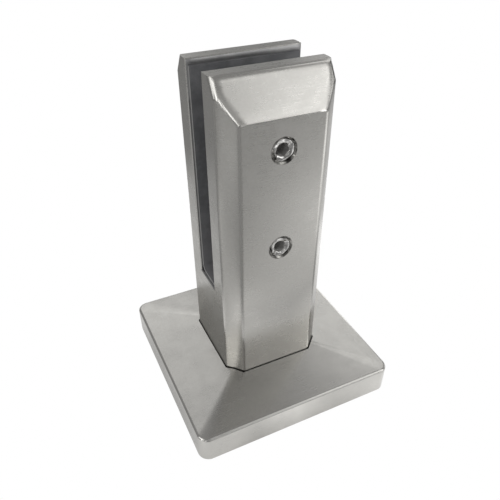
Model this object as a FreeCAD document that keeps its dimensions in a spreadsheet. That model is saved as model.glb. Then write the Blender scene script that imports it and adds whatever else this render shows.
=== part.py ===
import FreeCAD, Part
import math
import os
import Sketcher

# Glass railing spigot: a post with a slot that grips the foot of a glass panel.
# Origin: centre of the footprint, on the deck. X runs along the glass, the
# screws are on the -Y side, Z is up.

# Driving dimensions, in millimetres and degrees
SIZES = {
    # Post
    "post_width": 50.0,
    "post_depth": 50.8,
    "post_height": 161.0,
    "edge_chamfer": 6.75,
    "edge_round": 2.4,
    "facet_drop": 15.1,
    "facet_run": 10.0,
    "facet_round": 2.0,
    # Slot for the glass
    "slot_width": 16.8,
    "slot_floor": 62.0,
    "slot_edge_break": 0.4,
    # Base flange, in one casting with the post; its size comes from the cover's
    "flange_thickness": 8.0,
    "flange_corner": 8.0,
    "flange_edge_break": 1.0,
    "foot_fillet": 3.0,
    "bolt_edge_distance": 12.0,
    "bolt_hole": 11.0,
    # Casting core, open at the base, with a wall round it and a roof under the slot
    "core_wall": 10.0,
    "core_roof": 12.0,
    "core_corner": 6.0,
    # Threaded holes in the front cheek: drop from the post's top, rise from the slot's floor
    "upper_screw_drop": 27.7,
    "lower_screw_rise": 27.0,
    "upper_mouth_bevel": 0.45,
    "lower_mouth_bevel": 0.25,
    "mouth_angle": 90.0,
    "thread_clearance": 0.05,
    # Grub screws
    "screw_size": 10.0,
    "screw_length": 17.0,
    "screw_face_chamfer": 0.5,
    "screw_tip_chamfer": 1.0,
    "cup_diameter": 5.0,
    "cup_depth": 1.2,
    "socket_size": 5.0,
    "socket_depth": 6.0,
    "socket_mouth": 6.8,
    "socket_mouth_angle": 120.0,
    "upper_screw_turn": 12.0,
    "lower_screw_turn": 38.0,
    # Pressure plate and its pad
    "plate_thickness": 2.0,
    "plate_corner": 3.0,
    "plate_wall_gap": 0.2,
    "seat_clearance": 0.2,
    "seat_depth": 0.4,
    "tip_clearance": 0.1,
    "pad_thickness": 1.2,
    "pad_inset": 0.5,
    # Rubber liner of the slot's rear wall and floor
    "liner_thickness": 1.2,
    "liner_setback": 1.0,
    "liner_top_gap": 2.5,
    "liner_inner_bend": 2.4,
    "liner_end_gap": 0.4,
    "floor_clearance": 0.3,
    # Base cover: room over the flange for bolt heads, then the rise of its slopes
    "cover_size": 104.0,
    "cover_clearance": 2.8,
    "bolt_head_room": 5.2,
    "cover_rise": 4.7,
    "cover_sheet": 1.2,
    "cover_corner": 5.5,
    "cover_bend": 1.5,
    "cover_gap": 0.4,
    "hip_round": 1.2,
}

# Cuts run this far past the faces that they open
OVERCUT = 2.0
TOLERANCE = 1e-4

# Reference to a sketch's origin
ORIGIN = (-1, 1)

# Sizes that follow from the driving dimensions
FLANGE_SIZE = "(sizes.cover_size - 2 * (sizes.cover_sheet + sizes.cover_clearance))"
BORE = "(sizes.screw_size + 2 * sizes.thread_clearance)"
UPPER_SCREW = "(sizes.post_height - sizes.upper_screw_drop)"
LOWER_SCREW = "(sizes.slot_floor + sizes.lower_screw_rise)"
PLATE_FRONT = "(sizes.plate_wall_gap - sizes.slot_width / 2)"
INNER_RIM = "(sizes.flange_thickness + sizes.bolt_head_room)"
OUTER_RIM = f"({INNER_RIM} + sizes.cover_sheet)"

# The cover's slopes run on inside the post's outline, so that its opening cuts them all round
CROWN_INSET = f"(sizes.edge_chamfer + {OVERCUT})"


def make_sheet(doc):
    """Spreadsheet that holds the driving dimensions under their names."""
    sheet = doc.addObject("Spreadsheet::Sheet", "sizes")
    for row, (name, value) in enumerate(SIZES.items(), start=1):
        sheet.set(f"A{row}", name)
        sheet.set(f"B{row}", str(value))
        sheet.setAlias(f"B{row}", name)
    doc.recompute()
    return sheet


def new_body(doc, name):
    body = doc.addObject("PartDesign::Body", name)
    body.Label = name
    return body


def origin_feature(body, role):
    return next(f for f in body.Origin.OriginFeatures if f.Role == role)


def new_sketch(body, name, plane, offset=None):
    """Sketch on one of the body's origin planes, moved along its normal."""
    sketch = body.newObject("Sketcher::SketchObject", name)
    sketch.AttachmentSupport = [(origin_feature(body, plane), "")]
    sketch.MapMode = "FlatFace"
    if offset is not None:
        sketch.setExpression("AttachmentOffset.Base.z", offset)
    return sketch


def bind(sketch, kind, refs, start, formula):
    """Add a dimension to a sketch and tie it to a formula of the sheet."""
    index = sketch.addConstraint(Sketcher.Constraint(kind, *refs, start))
    sketch.setExpression(f"Constraints[{index}]", formula)


def evaluate(sketch, formula):
    return float(sketch.evalExpression(formula))


def polygon(sketch, corners):
    """Closed outline whose corners are pairs of formulas (x, y)."""
    places = [[evaluate(sketch, f) for f in corner] for corner in corners]
    points = [FreeCAD.Vector(x, y, 0) for x, y in places]
    count = len(points)
    first = sketch.GeometryCount
    for i in range(count):
        sketch.addGeometry(Part.LineSegment(points[i], points[(i + 1) % count]), False)
    for i in range(count):
        after = first + (i + 1) % count
        sketch.addConstraint(Sketcher.Constraint("Coincident", first + i, 2, after, 1))
        place_point(sketch, (first + i, 1), corners[i], places[i])


def zero_axis(kind):
    """Sketch axis on which a coordinate is zero: -2 is the vertical one, -1 the other."""
    return -2 if kind == "DistanceX" else -1


def place_point(sketch, point, corner, place):
    """Tie a point's two coordinates to formulas, or lay it on an axis."""
    for kind, formula, value in zip(("DistanceX", "DistanceY"), corner, place):
        if formula == "0":
            sketch.addConstraint(Sketcher.Constraint("PointOnObject", *point, zero_axis(kind)))
        else:
            bind(sketch, kind, (*ORIGIN, *point), value, formula)


def rounded_rectangle(sketch, width, depth, corner):
    """Rectangle with round corners about the sketch's origin, from formulas."""
    x = evaluate(sketch, width) / 2
    y = evaluate(sketch, depth) / 2
    r = evaluate(sketch, corner)
    z = FreeCAD.Vector(0, 0, 1)
    centres = [(x - r, y - r), (r - x, y - r), (r - x, r - y), (x - r, r - y)]
    quarter = math.pi / 2
    for i, (cx, cy) in enumerate(centres):
        circle = Part.Circle(FreeCAD.Vector(cx, cy, 0), z, r)
        sketch.addGeometry(Part.ArcOfCircle(circle, i * quarter, (i + 1) * quarter), False)
    ends = [((x - r, y), (r - x, y)), ((-x, y - r), (-x, r - y)),
            ((r - x, -y), (x - r, -y)), ((x, r - y), (x, y - r))]
    for a, b in ends:
        sketch.addGeometry(Part.LineSegment(FreeCAD.Vector(*a, 0), FreeCAD.Vector(*b, 0)), False)
    for i in range(4):
        line = 4 + i
        sketch.addConstraint(Sketcher.Constraint("Tangent", i, 2, line, 1))
        sketch.addConstraint(Sketcher.Constraint("Tangent", line, 2, (i + 1) % 4, 1))
        sketch.addConstraint(Sketcher.Constraint("Horizontal" if i % 2 == 0 else "Vertical", line))
    for i in range(1, 4):
        sketch.addConstraint(Sketcher.Constraint("Equal", 0, i))
    sketch.addConstraint(Sketcher.Constraint("Symmetric", 0, 3, 2, 3, -1, 1))
    bind(sketch, "DistanceX", (5, 1, 7, 2), 2 * x, width)
    bind(sketch, "DistanceY", (6, 1, 4, 1), 2 * y, depth)
    bind(sketch, "Radius", (0,), r, corner)


def circle_at(sketch, x, y, diameter):
    """Circle whose centre and diameter are formulas."""
    cx, cy, size = (evaluate(sketch, f) for f in (x, y, diameter))
    circle = Part.Circle(FreeCAD.Vector(cx, cy, 0), FreeCAD.Vector(0, 0, 1), size / 2)
    index = sketch.addGeometry(circle, False)
    place_point(sketch, (index, 3), (x, y), (cx, cy))
    bind(sketch, "Diameter", (index,), size, diameter)


def extrude(body, kind, name, sketch, length=None, both_ways=False, reverse=False):
    """Pad or Pocket of a sketch; no length means all the way through."""
    feature = body.newObject(f"PartDesign::{kind}", name)
    feature.Profile = sketch
    sketch.Visibility = False
    if length is None:
        feature.Type = "ThroughAll"
    else:
        feature.Type = "Length"
        feature.setExpression("Length", length)
    feature.SideType = "Symmetric" if both_ways else "One side"
    feature.Reversed = reverse
    body.Document.recompute()
    return feature


def edge_names(shape, test):
    """Names of the edges whose middle and direction pass a test."""
    names = []
    for i, edge in enumerate(shape.Edges, start=1):
        middle = edge.valueAt((edge.FirstParameter + edge.LastParameter) / 2)
        if test(edge, middle):
            names.append(f"Edge{i}")
    return names


def dress(body, kind, name, base, test, size):
    """Fillet or Chamfer of the edges of a feature that pass a test."""
    feature = body.newObject(f"PartDesign::{kind}", name)
    feature.Base = (base, edge_names(base.Shape, test))
    feature.setExpression("Radius" if kind == "Fillet" else "Size", size)
    body.Document.recompute()
    return feature


def near(a, b):
    return abs(a - b) < TOLERANCE


def octagon_corners(half_x, half_y, chamfer):
    """Corners of a rectangle with cut corners, as formulas."""
    inner_x = f"({half_x} - {chamfer})"
    inner_y = f"({half_y} - {chamfer})"
    return [
        (inner_x, f"-{half_y}"), (half_x, f"-{inner_y}"), (half_x, inner_y), (inner_x, half_y),
        (f"-{inner_x}", half_y), (f"-{half_x}", inner_y), (f"-{half_x}", f"-{inner_y}"),
        (f"-{inner_x}", f"-{half_y}"),
    ]


def post_outline(gap="0"):
    """Eight-sided outline of the post, grown by a gap on every side."""
    half_x = f"(sizes.post_width / 2 + {gap})"
    half_y = f"(sizes.post_depth / 2 + {gap})"
    return octagon_corners(half_x, half_y, "sizes.edge_chamfer")


def cut_facets(body):
    """Slope the tops of both cheeks down to the front and the rear face."""
    sketch = new_sketch(body, "facet_outlines", "YZ_Plane")
    face = "sizes.post_depth / 2"
    crest = f"({face} - sizes.facet_run)"
    outside = f"({face} + {OVERCUT})"
    low = "(sizes.post_height - sizes.facet_drop)"
    high = "sizes.post_height"
    above = f"({high} + {OVERCUT})"
    for side in ("-", ""):
        outline = ((face, low), (crest, high), (crest, above), (outside, above), (outside, low))
        polygon(sketch, [(side + y, z) for y, z in outline])
    return extrude(body, "Pocket", "facets", sketch, both_ways=True)


def round_post(body, base, sizes):
    """Round the post's outer edges: the facets' upper and side borders first, then the rest."""
    facet_foot = sizes.post_height - sizes.facet_drop

    def facet_border(edge, middle):
        across = near(abs(middle.x), sizes.post_width / 2)
        top_end = across and near(middle.z, sizes.post_height)
        return middle.z > facet_foot + TOLERANCE and not top_end

    facets = dress(body, "Fillet", "facet_rounds", base, facet_border, "sizes.facet_round")

    def upright_or_foot(edge, middle):
        low, high = sorted(v.Z for v in edge.Vertexes)
        upright = near(low, 0) and not near(high, 0)
        return upright or (near(low, facet_foot) and near(high, facet_foot))

    return dress(body, "Fillet", "post_rounds", facets, upright_or_foot, "sizes.edge_round")


def add_flange(body, sizes):
    """Square base plate under the post, with a cast fillet at the foot."""
    sketch = new_sketch(body, "flange_outline", "XY_Plane")
    rounded_rectangle(sketch, FLANGE_SIZE, FLANGE_SIZE, "sizes.flange_corner")
    flange = extrude(body, "Pad", "flange", sketch, "sizes.flange_thickness")
    reach = evaluate(sketch, FLANGE_SIZE) / 2 - sizes.flange_corner

    def foot(edge, middle):
        inside = max(abs(middle.x), abs(middle.y)) < reach
        return inside and all(near(v.Z, sizes.flange_thickness) for v in edge.Vertexes)

    foot_fillet = dress(body, "Fillet", "foot_fillet", flange, foot, "sizes.foot_fillet")

    def rim(edge, middle):
        outside = max(abs(middle.x), abs(middle.y)) > reach
        return outside and all(near(v.Z, sizes.flange_thickness) for v in edge.Vertexes)

    return dress(body, "Chamfer", "flange_edge", foot_fillet, rim, "sizes.flange_edge_break")


def cut_slot(body, sizes):
    """Slot that the glass stands in, open at the top and at both sides."""
    sketch = new_sketch(body, "slot_outline", "YZ_Plane")
    half = "sizes.slot_width / 2"
    above = f"(sizes.post_height + {OVERCUT})"
    polygon(sketch, [(f"-{half}", "sizes.slot_floor"), (half, "sizes.slot_floor"),
                     (half, above), (f"-{half}", above)])
    slot = extrude(body, "Pocket", "slot", sketch, both_ways=True)

    def mouth(edge, middle):
        in_slot = abs(middle.y) < sizes.slot_width / 2 + TOLERANCE
        at_side = near(abs(middle.x), sizes.post_width / 2)
        at_top = near(middle.z, sizes.post_height)
        return in_slot and (at_side or at_top) and middle.z > sizes.slot_floor - TOLERANCE

    return dress(body, "Chamfer", "slot_edges", slot, mouth, "sizes.slot_edge_break")


def drill_screw_hole(body, name, height, bevel):
    """Threaded hole through the front cheek, with a countersunk mouth."""
    sketch = new_sketch(body, f"{name}_centre", "XZ_Plane", "sizes.post_depth / 2")
    circle_at(sketch, "0", height, "sizes.screw_size")
    hole = body.newObject("PartDesign::Hole", name)
    hole.Profile = sketch
    body.Document.recompute()
    hole.DepthType = "Dimension"
    hole.DrillPoint = "Flat"
    hole.setExpression("Diameter", BORE)
    cheek = "(sizes.post_depth - sizes.slot_width) / 2"
    hole.setExpression("Depth", f"{cheek} + {OVERCUT}")
    hole.HoleCutType = "Countersink"
    hole.HoleCutCustomValues = True
    hole.setExpression("HoleCutDiameter", f"{BORE} + 2 * {bevel}")
    hole.setExpression("HoleCutCountersinkAngle", "sizes.mouth_angle")
    body.Document.recompute()
    return hole


def cut_base(body):
    """Fixing holes through the flange, and the casting core under the slot."""
    sketch = new_sketch(body, "bolt_centres", "XY_Plane")
    arm = f"({FLANGE_SIZE} / 2 - sizes.bolt_edge_distance)"
    for x in (arm, f"-{arm}"):
        for y in (arm, f"-{arm}"):
            circle_at(sketch, x, y, "sizes.bolt_hole")
    depth = f"sizes.flange_thickness + {OVERCUT}"
    extrude(body, "Pocket", "bolt_holes", sketch, depth, reverse=True)
    sketch = new_sketch(body, "core_outline", "XY_Plane")
    side = "(sizes.post_width - 2 * sizes.core_wall)"
    rounded_rectangle(sketch, side, side, "sizes.core_corner")
    extrude(body, "Pocket", "core", sketch, "sizes.slot_floor - sizes.core_roof", reverse=True)


def make_spigot_body(doc, sizes):
    """Cast post and flange: the piece that carries everything else."""
    body = new_body(doc, "spigot_body")
    sketch = new_sketch(body, "post_outline", "XY_Plane")
    polygon(sketch, post_outline())
    extrude(body, "Pad", "post", sketch, "sizes.post_height")
    facets = cut_facets(body)
    round_post(body, facets, sizes)
    add_flange(body, sizes)
    cut_slot(body, sizes)
    drill_screw_hole(body, "upper_hole", UPPER_SCREW, "sizes.upper_mouth_bevel")
    drill_screw_hole(body, "lower_hole", LOWER_SCREW, "sizes.lower_mouth_bevel")
    cut_base(body)
    return body


def add_slopes(body, kind, name, inset, foot, top):
    """Low pyramid between a foot and a top height, added or cut away."""
    foot_sketch = new_sketch(body, f"{name}_foot", "XY_Plane", foot)
    side = f"(sizes.cover_size - 2 * {inset})"
    rounded_rectangle(foot_sketch, side, side, f"(sizes.cover_corner - {inset})")
    crown_sketch = new_sketch(body, f"{name}_crown", "XY_Plane", top)
    crown = f"(sizes.post_width - {CROWN_INSET})"
    rounded_rectangle(crown_sketch, crown, crown, "sizes.hip_round")
    loft = body.newObject(f"PartDesign::{kind}", name)
    loft.Profile = foot_sketch
    loft.Sections = [crown_sketch]
    loft.Ruled = True
    body.Document.recompute()
    return loft


def make_base_cover(doc, sizes):
    """Pressed sheet cover: square rim, low pyramid and an opening for the post."""
    body = new_body(doc, "base_cover")
    slope = "(sizes.cover_rise / (sizes.cover_size / 2 - sizes.post_width / 2))"
    crown_rise = f"{slope} * {CROWN_INSET} / 2"
    sketch = new_sketch(body, "rim_outline", "XY_Plane")
    rounded_rectangle(sketch, "sizes.cover_size", "sizes.cover_size", "sizes.cover_corner")
    rim = extrude(body, "Pad", "rim", sketch, OUTER_RIM)
    top = f"{OUTER_RIM} + sizes.cover_rise + {crown_rise}"
    outer = add_slopes(body, "AdditiveLoft", "slopes", "0", OUTER_RIM, top)
    rim_top = rim.Length.Value

    def rim_edge(edge, middle):
        outside = max(abs(middle.x), abs(middle.y)) > sizes.cover_size / 2 - sizes.cover_corner
        return outside and all(near(v.Z, rim_top) for v in edge.Vertexes)

    dress(body, "Fillet", "rim_bend", outer, rim_edge, "sizes.cover_bend")
    sketch = new_sketch(body, "inner_rim_outline", "XY_Plane")
    inside = "(sizes.cover_size - 2 * sizes.cover_sheet)"
    rounded_rectangle(sketch, inside, inside, "(sizes.cover_corner - sizes.cover_sheet)")
    extrude(body, "Pocket", "inner_rim", sketch, INNER_RIM, reverse=True)
    inner_top = f"{top} - sizes.cover_sheet"
    add_slopes(body, "SubtractiveLoft", "inner_slopes", "sizes.cover_sheet", INNER_RIM, inner_top)
    sketch = new_sketch(body, "opening_outline", "XY_Plane")
    polygon(sketch, post_outline("sizes.cover_gap"))
    extrude(body, "Pocket", "opening", sketch, f"{top} + {OVERCUT}", reverse=True)
    return body


def make_slot_liner(doc, sizes):
    """Rubber strip down the slot's rear wall and along its floor."""
    body = new_body(doc, "slot_liner")
    sketch = new_sketch(body, "liner_section", "YZ_Plane")
    wall = "sizes.slot_width / 2"
    face = f"({wall} - sizes.liner_thickness)"
    end = f"-({wall} - sizes.liner_end_gap)"
    floor = "sizes.slot_floor"
    seat = f"({floor} + sizes.liner_thickness)"
    top = "(sizes.post_height - sizes.liner_top_gap)"
    polygon(sketch, [(end, floor), (wall, floor), (wall, top), (face, top), (face, seat), (end, seat)])
    width = "sizes.post_width - 2 * sizes.liner_setback"
    strip = extrude(body, "Pad", "strip", sketch, width, both_ways=True)

    def corner_at(y, z):
        def test(edge, middle):
            return near(middle.y, y) and near(middle.z, z) and near(middle.x, 0)
        return test

    wall_y = sizes.slot_width / 2
    outer = corner_at(wall_y, sizes.slot_floor)
    outer_bend = "sizes.liner_inner_bend + sizes.liner_thickness"
    bend = dress(body, "Fillet", "outer_bend", strip, outer, outer_bend)
    inner = corner_at(wall_y - sizes.liner_thickness, sizes.slot_floor + sizes.liner_thickness)
    dress(body, "Fillet", "inner_bend", bend, inner, "sizes.liner_inner_bend")
    return body


def clamp_height():
    """Heights of the plate's foot and top, as formulas."""
    foot = "(sizes.slot_floor + sizes.liner_thickness + sizes.floor_clearance)"
    top = "(sizes.post_height - sizes.liner_top_gap)"
    return foot, top


def upright_plate(body, name, inset, thickness, front):
    """Upright plate with round corners, its front face at a given place in Y."""
    foot, top = clamp_height()
    sketch = new_sketch(body, f"{name}_outline", "XZ_Plane", f"-({front})")
    width = f"(sizes.post_width - 2 * sizes.liner_setback - 2 * {inset})"
    height = f"({top} - {foot} - 2 * {inset})"
    rounded_rectangle(sketch, width, height, f"(sizes.plate_corner - {inset})")
    sketch.setExpression("AttachmentOffset.Base.y", f"({top} + {foot}) / 2")
    return extrude(body, "Pad", name, sketch, thickness, reverse=True)


def make_clamp_plate(doc, sizes):
    """Pressure plate behind the front cheek, with a shallow seat for each screw."""
    body = new_body(doc, "clamp_plate")
    upright_plate(body, "plate", "0", "sizes.plate_thickness", PLATE_FRONT)
    sketch = new_sketch(body, "seat_centres", "XZ_Plane", f"-{PLATE_FRONT}")
    tip = "(sizes.screw_size - 2 * sizes.screw_tip_chamfer)"
    seat = f"({tip} + 2 * (sizes.seat_depth + sizes.seat_clearance))"
    for height in (UPPER_SCREW, LOWER_SCREW):
        circle_at(sketch, "0", height, seat)
    extrude(body, "Pocket", "screw_seats", sketch, "sizes.seat_depth")
    return body


def make_clamp_pad(doc, sizes):
    """Rubber pad on the plate's rear face."""
    body = new_body(doc, "clamp_pad")
    front = f"{PLATE_FRONT} + sizes.plate_thickness"
    upright_plate(body, "pad", "sizes.pad_inset", "sizes.pad_thickness", front)
    return body


def make_grub_screw(doc, name, height, turn):
    """Socket set screw with a cup point, built along Z from its outer face."""
    body = new_body(doc, name)
    sketch = new_sketch(body, "half_section", "XZ_Plane")
    radius = "sizes.screw_size / 2"
    length = "sizes.screw_length"
    mouth = "sizes.socket_mouth / 2"
    polygon(sketch, [
        ("0", f"{mouth} / tan(sizes.socket_mouth_angle / 2)"), (mouth, "0"),
        (f"({radius} - sizes.screw_face_chamfer)", "0"),
        (radius, "sizes.screw_face_chamfer"), (radius, f"({length} - sizes.screw_tip_chamfer)"),
        (f"({radius} - sizes.screw_tip_chamfer)", length), ("sizes.cup_diameter / 2", length),
        ("0", f"({length} - sizes.cup_depth)"),
    ])
    shank = body.newObject("PartDesign::Revolution", "shank")
    shank.Profile = sketch
    shank.ReferenceAxis = (sketch, ["V_Axis"])
    body.Document.recompute()
    sketch = new_sketch(body, "socket_outline", "XY_Plane")
    reach = "sizes.socket_size / sqrt(3)"
    angles = [f"({60 * i} + {turn})" for i in range(6)]
    polygon(sketch, [(f"{reach} * cos({a})", f"{reach} * sin({a})") for a in angles])
    extrude(body, "Pocket", "socket", sketch, "sizes.socket_depth", reverse=True)
    body.Placement.Rotation = FreeCAD.Rotation(FreeCAD.Vector(1, 0, 0), -90)
    tip = f"({PLATE_FRONT} + sizes.seat_depth - sizes.tip_clearance)"
    body.setExpression("Placement.Base.y", f"{tip} - {length}")
    body.setExpression("Placement.Base.z", height)
    return body


def check_and_write(doc, bodies):
    """Stop on any failed object, then write each body to its own file."""
    doc.recompute()
    for obj in doc.Objects:
        if "Invalid" in obj.State or "Error" in obj.State:
            raise RuntimeError(f"{obj.Label} failed: {obj.State}")
    for body in bodies:
        shape = body.Shape
        if shape.isNull() or not shape.isValid() or len(shape.Solids) != 1:
            raise RuntimeError(f"{body.Label} isn't one valid solid")
    os.makedirs("parts", exist_ok=True)
    for body in bodies:
        body.Shape.exportStep(f"parts/{body.Label}.step")
        print(body.Label, round(body.Shape.Volume, 1))


def main():
    doc = FreeCAD.newDocument("glass_railing_spigot")
    sizes = make_sheet(doc)
    bodies = [
        make_spigot_body(doc, sizes),
        make_base_cover(doc, sizes),
        make_slot_liner(doc, sizes),
        make_clamp_plate(doc, sizes),
        make_clamp_pad(doc, sizes),
        make_grub_screw(doc, "upper_grub_screw", UPPER_SCREW, "sizes.upper_screw_turn"),
        make_grub_screw(doc, "lower_grub_screw", LOWER_SCREW, "sizes.lower_screw_turn"),
    ]
    check_and_write(doc, bodies)


main()
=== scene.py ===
import math

import bmesh
import bpy
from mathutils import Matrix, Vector


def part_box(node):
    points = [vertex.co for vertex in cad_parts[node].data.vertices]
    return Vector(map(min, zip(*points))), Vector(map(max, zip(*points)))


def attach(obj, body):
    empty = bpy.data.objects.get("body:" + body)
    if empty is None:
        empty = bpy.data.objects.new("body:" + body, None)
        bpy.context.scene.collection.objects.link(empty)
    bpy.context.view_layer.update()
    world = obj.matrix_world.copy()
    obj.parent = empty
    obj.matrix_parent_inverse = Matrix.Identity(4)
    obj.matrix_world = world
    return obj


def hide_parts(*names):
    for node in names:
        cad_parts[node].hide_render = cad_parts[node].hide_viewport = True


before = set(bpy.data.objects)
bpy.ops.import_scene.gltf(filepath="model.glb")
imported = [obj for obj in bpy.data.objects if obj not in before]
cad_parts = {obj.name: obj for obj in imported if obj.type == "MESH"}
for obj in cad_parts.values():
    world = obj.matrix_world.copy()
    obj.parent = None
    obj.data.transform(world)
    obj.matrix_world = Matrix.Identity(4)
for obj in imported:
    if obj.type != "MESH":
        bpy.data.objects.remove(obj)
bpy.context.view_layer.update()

# Meshes are in metres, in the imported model's frame: X along the glass, the screws on the
# -Y side, Z up from the deck. Places on the post that materials read are in millimetres.
MM = 0.001
MERGE_DISTANCE = 1e-6

# M10 thread of the set screws and of their tapped holes
SCREW_RADIUS = 5 * MM
PITCH = 1.5 * MM
CREST = PITCH / 8
SCREW_ROOT = 4.08 * MM
HOLE_ROOT = 5.08 * MM
HOLE_CREST = 4.25 * MM
FLANK = math.tan(math.radians(30))
THREAD_CLEARANCE = 0.04 * MM
CREST_EXCESS = 0.03 * MM
STEPS_PER_TURN = 48

# Thread wound past the ends of a screw or hole, to be trimmed to it
LEAD = 2 * PITCH
ROD_EXTRA_TURNS = 3
HOLE_EXTRA_TURNS = 2

# Countersunk mouths of the tapped holes, and the solid that trims their threads
MOUTH_BEVEL = {"upper_grub_screw": 0.45 * MM, "lower_grub_screw": 0.25 * MM}
BORE_RADIUS = 5.05 * MM
POST_FRONT = -25.4 * MM
BLANK_CORE = HOLE_CREST - 0.5 * MM
BLANK_OUTSIDE = HOLE_ROOT + 0.1 * MM

# Cut rubber
RUBBER_THICKNESS = 1.2 * MM
RUBBER_EDGE = 0.12 * MM
LINER_BEND = 2.4 * MM
PAD_CORNER = 2.5 * MM
BEND_STEPS = 8
PAD_CORNER_STEPS = 6
RUBBER_EDGE_STEPS = 2

# Angles in degrees above which an edge is kept sharp, or counts as a corner to round
THREAD_SHARP = 25
RUBBER_SHARP = 40
CORNER_ANGLE = 60

# Places on the post where the finish changes
FOOT_TOP = 11.6
FOOT_WANDER = 2.0
FOOT_SOFTNESS = 0.8
SLOT_WALL = 8.44
SLOT_FLOOR = 61.6
CORE_SIDE = 15.2
CORE_ROOF = 50.4
OUTSIDE = 200.0
DENTED_ABOVE = (70.0, 110.0)
# Reach of the painted dark reflection of the cover on the post's lower front
DARK_REFLECTION_SIDE = 24.0
DARK_REFLECTION_TOP = 71.0
DARK_REFLECTION_SOFTNESS = 20.0
HARD_BORDER = 0.05

# Set screws: heights of their axes, their sockets and the mouths of their holes
SCREW_HEIGHTS = (133.3, 89.0)
SOCKET_REACH = 2.85
SOCKET_MOUTH = -24.3
SOCKET_FLOOR = -18.7
SOCKET_SOFTNESS = 0.2
MOUTH_RADIUS = 5.75
MOUTH_SOFTNESS = 0.15
MOUTH_DEPTH = -23.4

# Borders of the post's head. Its depth is larger than its width by twice the excess.
POST_SIDE = 25.0
DEPTH_EXCESS = 0.4
CHAMFER_SPAN = 6.75
CHAMFER_REACH = 43.65
CHAMFER_STARTS = (CHAMFER_REACH - 1.5, CHAMFER_REACH - 0.5)
POST_TOP = 161.0
FACET_FOOT = 145.9
FACET_STARTS = (FACET_FOOT - 0.8, FACET_FOOT + 0.5)

# How far the facets and chamfers are crowned, and how tight the crown is at each border
CROWN_WIDTH = 6.0
CROWN_LEAN = 0.9
FOOT_LEAN = 0.12
CHAMFER_LEAN = 0.2
CHAMFER_TIGHTNESS = 1.3
CREST_TIGHTNESS = 2.2
SIDE_TIGHTNESS = 1.2
SLANT_SHARE = 0.8

# Directions of the sloping faces with their signs left off, and how close a normal has to
# be to count as theirs
FACET_NORMAL = (0.0, 0.834, 0.552)
CHAMFER_NORMAL = (math.sqrt(0.5), math.sqrt(0.5), 0.0)
COVER_SLOPE_NORMAL = (0.0, 0.171, 0.985)
ON_FACET = (0.62, 1.0)
ON_CHAMFER = (0.9, 1.0)
ON_FRONT = (0.75, 0.95)

# Parts of a unit normal above or below which a face lies, looks aside or looks down, and
# between which the cover's side bends are softened
LYING = 0.4
ASIDE = 0.7
DOWNWARD = -0.3
SIDE_BEND = (0.05, 0.3)

# Parts of a noise's or a closeness's range that each effect spreads from 0 to 1
LINE_RANGE = (0.3, 0.7)
PATCH_RANGE = (0.32, 0.68)
MARK_RANGE = (0.64, 0.74)
EDGE_RANGE = (0.992, 0.955)

# Noise of each effect
BROAD_SCALE = 0.27
BROAD_DETAIL = 3.0
BROAD_SHARE = 0.25
CLOUD_DETAIL = 3.0
CLOUD_ROUGHNESS = 0.55
MARK_ROUGHNESS = 0.4

# Fineness of lines, marks and dents, in waves to a millimetre: long where it is low
BELT_ALONG = 0.09
BELT_ACROSS = 3.2
BELT_MARKS = (0.22, 0.22, 1.6)
BELT_DENTS = (0.6, 0.6, 1.5)
SHEET_ALONG = 0.06
SHEET_ACROSS = 2.6
ROLLED_LINES = (2.0, 2.0, 0.05)
ROLLED_MARKS = (1.2, 1.2, 0.2)
SCREW_MARKS = (2.5, 0.8, 2.5)
SCREW_DENTS = 0.42

# Sizes of clouds, stains, speckle and grit
FOOT_WAVE = 5.0
POST_CLOUD = 6.0
POST_STAIN = 2.6
POST_SPECKLE = 0.9
POST_GRIT = 0.5
SHEET_CLOUD = 12.0
SHEET_SPECKLE = 1.0
PLATE_CLOUD = 9.0
SCREW_CLOUD = 2.4
RUBBER_CLOUD = 5.0
RUBBER_GRIT = 0.35

# Distances from the middle between which cut rubber turns pale, and heights of its dust
RUBBER_CUT = (23.86, 23.98)
DUSTY_BELOW = (110.0, 62.0)

# Colours of the finishes. A pair is what a noise mixes.
SANDED = ((0.615, 0.603, 0.572), (0.645, 0.634, 0.603))
# Painted highlight: lighter colour along the rounded edges
EDGE_HIGHLIGHT = (0.70, 0.69, 0.66)
RUB_MARK = (0.52, 0.51, 0.485)
# Painted reflection: the cover's dark slope darkening the post's lower front
DARK_REFLECTION = (0.34, 0.335, 0.325)
# Painted shade and reflection: dark patchy colour in the countersunk hole mouths
MOUTH_SHADE = ((0.06, 0.058, 0.055), (0.5, 0.49, 0.46))
MILLED = ((0.33, 0.33, 0.335), (0.42, 0.42, 0.42))
BLASTED = ((0.27, 0.265, 0.255), (0.36, 0.355, 0.34))
SHEET = ((0.64, 0.628, 0.597), (0.665, 0.653, 0.622))
CLOUDED_SHEET = (0.56, 0.55, 0.525)
RAW_SHEET = ((0.42, 0.415, 0.40), (0.50, 0.495, 0.48))
ROLLED = ((0.46, 0.46, 0.455), (0.56, 0.56, 0.55))
SCRAPED = (0.66, 0.66, 0.65)
POLISHED = ((0.38, 0.373, 0.36), (0.88, 0.87, 0.85))
SCRATCHED = (0.25, 0.245, 0.24)
# Painted shade: dark colour inside the hex sockets
SOCKET_SHADE = (0.30, 0.295, 0.285)
RUBBER = ((0.13, 0.132, 0.138), (0.18, 0.182, 0.188))
DUSTY_RUBBER = (0.30, 0.29, 0.30)
CUT_RUBBER = (0.42, 0.42, 0.41)

# How much of an effect's colour shows where the effect is strongest
EDGE_SHARE = 0.5
RUB_MARK_SHARE = 0.05
DARK_REFLECTION_SHARE = 0.5
SHEET_CLOUD_SHARE = 0.5
SHEET_EDGE_SHARE = 0.2
SCRAPED_SHARE = 0.4
SCRATCHED_SHARE = 0.3
DUSTY_SHARE = 0.4
CUT_SHARE = 0.8

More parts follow.
